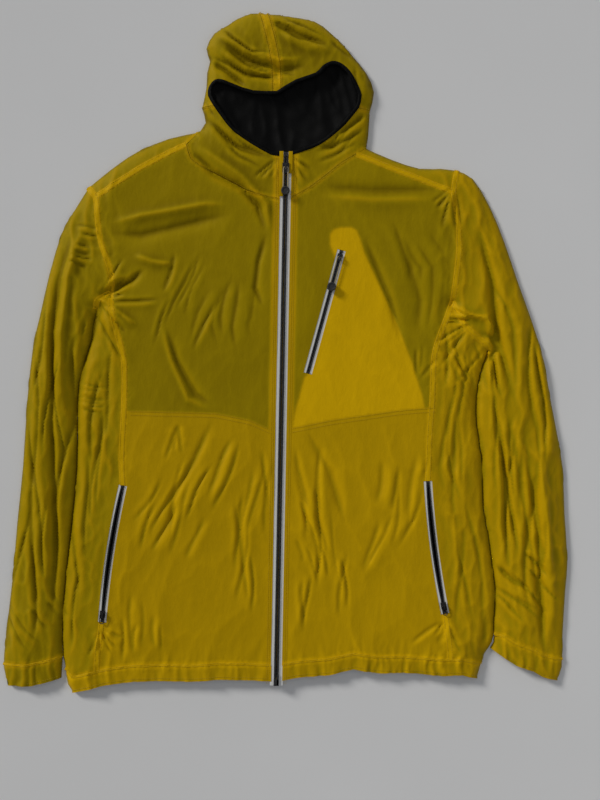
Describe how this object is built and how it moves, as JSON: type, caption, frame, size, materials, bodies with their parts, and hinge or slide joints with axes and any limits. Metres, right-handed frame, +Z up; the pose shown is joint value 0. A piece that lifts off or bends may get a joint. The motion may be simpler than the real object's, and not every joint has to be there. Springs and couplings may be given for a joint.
{
  "type": "hooded hardshell jacket",
  "caption": "Thin hooded full-zip shell jacket laid flat, with a slanted chest zip, hand pocket zips, elastic cuffs and hem, and sliders that run.",
  "frame": {"origin": "under the middle of the laid-out jacket, on the surface it lies on", "axes": "+X towards the wearer's left, +Y from the hem to the hood, +Z up from the surface"},
  "size_m": [0.7896, 0.9502, 0.0242],
  "materials": {
    "shell_fabric": "thin golden-yellow woven nylon, slightly sheer, soft sheen",
    "lining": "black woven lining, matt",
    "binding": "black stretch binding, matt",
    "elastic": "black knitted elastic",
    "reflective_tape": "white reflective stripe on zip tape, satin",
    "coil": "black nylon coil",
    "slider_metal": "black enamelled zip slider",
    "pull_cord": "grey and black braided cord",
    "pull_knob": "moulded black rubber, matt"
  },
  "bodies": {
    "jacket": {"back_lining": "lining", "back_panel": "shell_fabric", "chest_pocket_bag": "shell_fabric", "chest_zip_left_coil": "coil", "chest_zip_right_coil": "coil", "chest_zip_tape": "reflective_tape", "face_opening_binding": "binding", "hang_loop": "lining", "hem_casing": "shell_fabric", "hem_elastic": "elastic", "hood_back": "shell_fabric", "hood_centre_strip": "shell_fabric", "hood_lining": "lining", "left_collar": "shell_fabric", "left_cuff": "shell_fabric", "left_cuff_elastic": "elastic", "left_front_panel": "shell_fabric", "left_hand_pocket_bag": "shell_fabric", "left_hand_zip_front_coil": "coil", "left_hand_zip_side_coil": "coil", "left_hand_zip_tape": "reflective_tape", "left_hood_panel": "shell_fabric", "left_shoulder_yoke": "shell_fabric", "left_side_panel": "shell_fabric", "left_sleeve_back": "shell_fabric", "left_sleeve_front": "shell_fabric", "main_zip_insertion_pin": "slider_metal", "main_zip_left_coil": "coil", "main_zip_left_tape": "reflective_tape", "main_zip_left_top_stop": "slider_metal", "main_zip_retainer_box": "slider_metal", "main_zip_right_coil": "coil", "main_zip_right_tape": "reflective_tape", "main_zip_right_top_stop": "slider_metal", "right_collar": "shell_fabric", "right_cuff": "shell_fabric", "right_cuff_elastic": "elastic", "right_front_panel": "shell_fabric", "right_hand_pocket_bag": "shell_fabric", "right_hand_zip_front_coil": "coil", "right_hand_zip_side_coil": "coil", "right_hand_zip_tape": "reflective_tape", "right_hood_panel": "shell_fabric", "right_shoulder_yoke": "shell_fabric", "right_side_panel": "shell_fabric", "right_sleeve_back": "shell_fabric", "right_sleeve_front": "shell_fabric", "storm_flap": "shell_fabric"},
    "main_slider": {"main_zip_slider": "slider_metal"},
    "main_pull": {"main_zip_pull_loop": "pull_cord", "main_zip_pull_knob": "pull_knob"},
    "chest_slider": {"chest_zip_slider": "slider_metal"},
    "chest_pull": {"chest_zip_pull_loop": "pull_cord", "chest_zip_pull_knob": "pull_knob"},
    "right_hand_slider": {"right_hand_zip_slider": "slider_metal"},
    "right_hand_pull": {"right_hand_zip_pull_ring": "slider_metal"},
    "left_hand_slider": {"left_hand_zip_slider": "slider_metal"},
    "left_hand_pull": {"left_hand_zip_pull_ring": "slider_metal"}
  },
  "joints": [
    {"name": "main_zip_slide", "type": "slide", "parent": "jacket", "child": "main_slider", "axis": [-0.0189, -0.9998, 0], "range_m": [0, 0.70283]},
    {"name": "main_pull_swing", "type": "hinge", "parent": "main_slider", "child": "main_pull", "pos_m": [0.00057, 0.25574, 0.0185], "axis": [-0.9998, 0.0189, 0], "range_deg": [0, 150]},
    {"name": "chest_zip_slide", "type": "slide", "parent": "jacket", "child": "chest_slider", "axis": [-0.265, -0.9642, 0], "range_m": [0, 0.15724]},
    {"name": "chest_pull_swing", "type": "hinge", "parent": "chest_slider", "child": "chest_pull", "pos_m": [0.07508, 0.13113, 0.0179], "axis": [-0.9642, 0.265, 0], "range_deg": [0, 150]},
    {"name": "right_hand_zip_travel", "type": "hinge", "parent": "jacket", "child": "right_hand_slider", "pos_m": [1.0411, -0.47587, 0.014], "axis": [0, 0, -1], "range_deg": [0, 7.59]},
    {"name": "right_hand_pull_swing", "type": "hinge", "parent": "right_hand_slider", "child": "right_hand_pull", "pos_m": [-0.2541, -0.3643, 0.0179], "axis": [-0.9963, 0.0858, 0], "range_deg": [0, 150]},
    {"name": "left_hand_zip_travel", "type": "hinge", "parent": "jacket", "child": "left_hand_slider", "pos_m": [1.49579, -0.10355, 0.014], "axis": [0, 0, -1], "range_deg": [0, 7.3]},
    {"name": "left_hand_pull_swing", "type": "hinge", "parent": "left_hand_slider", "child": "left_hand_pull", "pos_m": [0.21985, -0.35247, 0.0179], "axis": [-0.9815, -0.1915, 0], "range_deg": [0, 150]}
  ]
}
